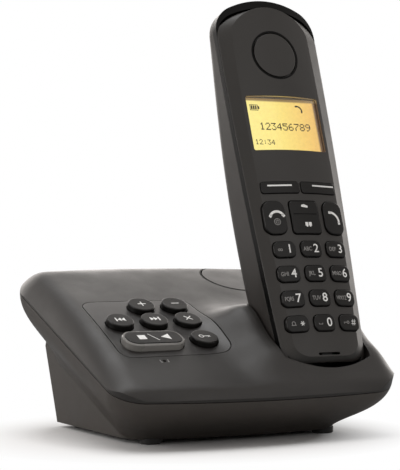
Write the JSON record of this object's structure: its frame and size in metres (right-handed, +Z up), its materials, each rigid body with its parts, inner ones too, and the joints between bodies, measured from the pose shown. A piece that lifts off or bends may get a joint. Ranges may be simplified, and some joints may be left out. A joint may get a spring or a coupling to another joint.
{
  "type": "answering machine with cordless handset",
  "caption": "Wedge-shaped answering machine base with a key panel, and a slim cordless handset standing in its charging cradle.",
  "frame": {"origin": "middle of the footprint, on the surface that the feet stand on", "axes": "+Z up, -Y the front, the key panel at -X and the handset at +X"},
  "size_m": [0.122, 0.1116, 0.1727],
  "materials": {
    "cover_plastic": "fine matte moulding, warm charcoal",
    "base_plastic": "fine matte moulding, warm charcoal",
    "panel_plastic": "satin charcoal plate",
    "foot_rubber": "soft dark rubber",
    "board": "green laminate with solder mask",
    "parts_metal": "tinned cans",
    "mat_rubber": "grey silicone",
    "screw_steel": "zinc-plated steel",
    "speaker_steel": "pressed steel basket",
    "cone_paper": "black paper cone",
    "magnet": "sintered magnet",
    "jack_plastic": "black socket",
    "mic_metal": "small capsule",
    "spring_steel": "nickel-plated spring strip",
    "key_gloss": "glossy black key",
    "skirt_gloss": "glossy dark grey key body",
    "disc_plastic": "same moulding as the cover",
    "front_plastic": "fine matte moulding, warm charcoal",
    "trim_gloss": "glossy black frame",
    "rear_plastic": "fine matte moulding, warm charcoal",
    "door_plastic": "fine matte moulding, warm charcoal",
    "window_glass": "clear acrylic window",
    "lcd": "amber display glass, lit from behind",
    "backlight": "white light guide",
    "earpiece_plastic": "same moulding as the front shell",
    "receiver_metal": "small metal-cased transducer",
    "cell_sleeve": "plain green cell sleeve",
    "pad_metal": "plated contact pad",
    "hand_key_gloss": "glossy black key"
  },
  "bodies": {
    "base": {"base_cover": "cover_plastic", "base_shell": "base_plastic", "control_panel": "panel_plastic", "base_feet": "foot_rubber", "base_circuit_board": "board", "base_board_parts": "parts_metal", "base_key_mat": "mat_rubber", "base_screws": "screw_steel", "speaker_frame": "speaker_steel", "speaker_cone": "cone_paper", "speaker_magnet": "magnet", "line_jack": "jack_plastic", "power_jack": "jack_plastic", "base_microphone": "mic_metal", "charge_springs": "spring_steel"},
    "volume_up_key": {"volume_up_key": "key_gloss"},
    "volume_down_key": {"volume_down_key": "key_gloss"},
    "skip_back_key": {"skip_back_key": "key_gloss"},
    "skip_forward_key": {"skip_forward_key": "key_gloss"},
    "delete_key": {"delete_key": "key_gloss"},
    "answer_key": {"answer_key": "key_gloss"},
    "play_stop_key": {"play_stop_skirt": "skirt_gloss", "play_stop_cap": "key_gloss"},
    "locating_key": {"locating_key": "disc_plastic"},
    "handset": {"handset_front_shell": "front_plastic", "handset_trim_frame": "trim_gloss", "handset_rear_shell": "rear_plastic", "display_window": "window_glass", "lcd_glass": "lcd", "lcd_backlight": "backlight", "earpiece_cap": "earpiece_plastic", "earpiece_receiver": "receiver_metal", "handset_microphone": "mic_metal", "handset_key_mat": "mat_rubber", "handset_circuit_board": "board", "handset_board_parts": "parts_metal", "ringer": "receiver_metal", "battery_cells": "cell_sleeve", "battery_contacts": "spring_steel", "charge_pads": "pad_metal", "handset_screws": "screw_steel"},
    "key_star": {"key_star": "hand_key_gloss"},
    "key_0": {"key_0": "hand_key_gloss"},
    "key_hash": {"key_hash": "hand_key_gloss"},
    "key_7": {"key_7": "hand_key_gloss"},
    "key_8": {"key_8": "hand_key_gloss"},
    "key_9": {"key_9": "hand_key_gloss"},
    "key_4": {"key_4": "hand_key_gloss"},
    "key_5": {"key_5": "hand_key_gloss"},
    "key_6": {"key_6": "hand_key_gloss"},
    "key_1": {"key_1": "hand_key_gloss"},
    "key_2": {"key_2": "hand_key_gloss"},
    "key_3": {"key_3": "hand_key_gloss"},
    "end_key": {"end_key": "hand_key_gloss"},
    "talk_key": {"talk_key": "hand_key_gloss"},
    "soft_key_left": {"soft_key_left": "hand_key_gloss"},
    "soft_key_right": {"soft_key_right": "hand_key_gloss"},
    "nav_rocker": {"nav_rocker": "hand_key_gloss"},
    "battery_door": {"battery_door": "door_plastic"}
  },
  "joints": [
    {"name": "volume_up_key_press", "type": "slide", "parent": "base", "child": "volume_up_key", "axis": [0, 0.4194, -0.9078], "range_m": [0, 0.0008], "stiffness_N_per_m": 250},
    {"name": "volume_down_key_press", "type": "slide", "parent": "base", "child": "volume_down_key", "axis": [0, 0.4194, -0.9078], "range_m": [0, 0.0008], "stiffness_N_per_m": 250},
    {"name": "skip_back_key_press", "type": "slide", "parent": "base", "child": "skip_back_key", "axis": [0, 0.4194, -0.9078], "range_m": [0, 0.0008], "stiffness_N_per_m": 250},
    {"name": "skip_forward_key_press", "type": "slide", "parent": "base", "child": "skip_forward_key", "axis": [0, 0.4194, -0.9078], "range_m": [0, 0.0008], "stiffness_N_per_m": 250},
    {"name": "delete_key_press", "type": "slide", "parent": "base", "child": "delete_key", "axis": [0, 0.4194, -0.9078], "range_m": [0, 0.0008], "stiffness_N_per_m": 250},
    {"name": "answer_key_press", "type": "slide", "parent": "base", "child": "answer_key", "axis": [0, 0.4194, -0.9078], "range_m": [0, 0.0008], "stiffness_N_per_m": 250},
    {"name": "play_stop_key_press", "type": "slide", "parent": "base", "child": "play_stop_key", "axis": [0, 0.4194, -0.9078], "range_m": [0, 0.0008], "stiffness_N_per_m": 300},
    {"name": "locating_key_press", "type": "slide", "parent": "base", "child": "locating_key", "axis": [0, 0.3584, -0.9336], "range_m": [0, 0.0008], "stiffness_N_per_m": 350},
    {"name": "handset_lift", "type": "slide", "parent": "base", "child": "handset", "axis": [0, 0.3239, 0.9461], "range_m": [0, 0.12]},
    {"name": "key_star_press", "type": "slide", "parent": "handset", "child": "key_star", "axis": [0, 0.9461, -0.3239], "range_m": [0, 0.0006], "stiffness_N_per_m": 200},
    {"name": "key_0_press", "type": "slide", "parent": "handset", "child": "key_0", "axis": [0, 0.9461, -0.3239], "range_m": [0, 0.0006], "stiffness_N_per_m": 200},
    {"name": "key_hash_press", "type": "slide", "parent": "handset", "child": "key_hash", "axis": [0, 0.9461, -0.3239], "range_m": [0, 0.0006], "stiffness_N_per_m": 200},
    {"name": "key_7_press", "type": "slide", "parent": "handset", "child": "key_7", "axis": [0, 0.9461, -0.3239], "range_m": [0, 0.0006], "stiffness_N_per_m": 200},
    {"name": "key_8_press", "type": "slide", "parent": "handset", "child": "key_8", "axis": [0, 0.9461, -0.3239], "range_m": [0, 0.0006], "stiffness_N_per_m": 200},
    {"name": "key_9_press", "type": "slide", "parent": "handset", "child": "key_9", "axis": [0, 0.9461, -0.3239], "range_m": [0, 0.0006], "stiffness_N_per_m": 200},
    {"name": "key_4_press", "type": "slide", "parent": "handset", "child": "key_4", "axis": [0, 0.9461, -0.3239], "range_m": [0, 0.0006], "stiffness_N_per_m": 200},
    {"name": "key_5_press", "type": "slide", "parent": "handset", "child": "key_5", "axis": [0, 0.9461, -0.3239], "range_m": [0, 0.0006], "stiffness_N_per_m": 200},
    {"name": "key_6_press", "type": "slide", "parent": "handset", "child": "key_6", "axis": [0, 0.9461, -0.3239], "range_m": [0, 0.0006], "stiffness_N_per_m": 200},
    {"name": "key_1_press", "type": "slide", "parent": "handset", "child": "key_1", "axis": [0, 0.9461, -0.3239], "range_m": [0, 0.0006], "stiffness_N_per_m": 200},
    {"name": "key_2_press", "type": "slide", "parent": "handset", "child": "key_2", "axis": [0, 0.9461, -0.3239], "range_m": [0, 0.0006], "stiffness_N_per_m": 200},
    {"name": "key_3_press", "type": "slide", "parent": "handset", "child": "key_3", "axis": [0, 0.9461, -0.3239], "range_m": [0, 0.0006], "stiffness_N_per_m": 200},
    {"name": "end_key_press", "type": "slide", "parent": "handset", "child": "end_key", "axis": [0, 0.9461, -0.3239], "range_m": [0, 0.0006], "stiffness_N_per_m": 200},
    {"name": "talk_key_press", "type": "slide", "parent": "handset", "child": "talk_key", "axis": [0, 0.9461, -0.3239], "range_m": [0, 0.0006], "stiffness_N_per_m": 200},
    {"name": "soft_key_left_press", "type": "slide", "parent": "handset", "child": "soft_key_left", "axis": [0, 0.9461, -0.3239], "range_m": [0, 0.0006], "stiffness_N_per_m": 200},
    {"name": "soft_key_right_press", "type": "slide", "parent": "handset", "child": "soft_key_right", "axis": [0, 0.9461, -0.3239], "range_m": [0, 0.0006], "stiffness_N_per_m": 200},
    {"name": "nav_rocker_tilt", "type": "hinge", "parent": "handset", "child": "nav_rocker", "pos_m": [0.03, -0.02385, 0.08224], "axis": [1, 0, 0], "range_deg": [-3, 3], "stiffness_Nm_per_rad": 0.02},
    {"name": "battery_door_off", "type": "slide", "parent": "handset", "child": "battery_door", "axis": [0, 0.9461, -0.3239], "range_m": [0, 0.012]}
  ]
}
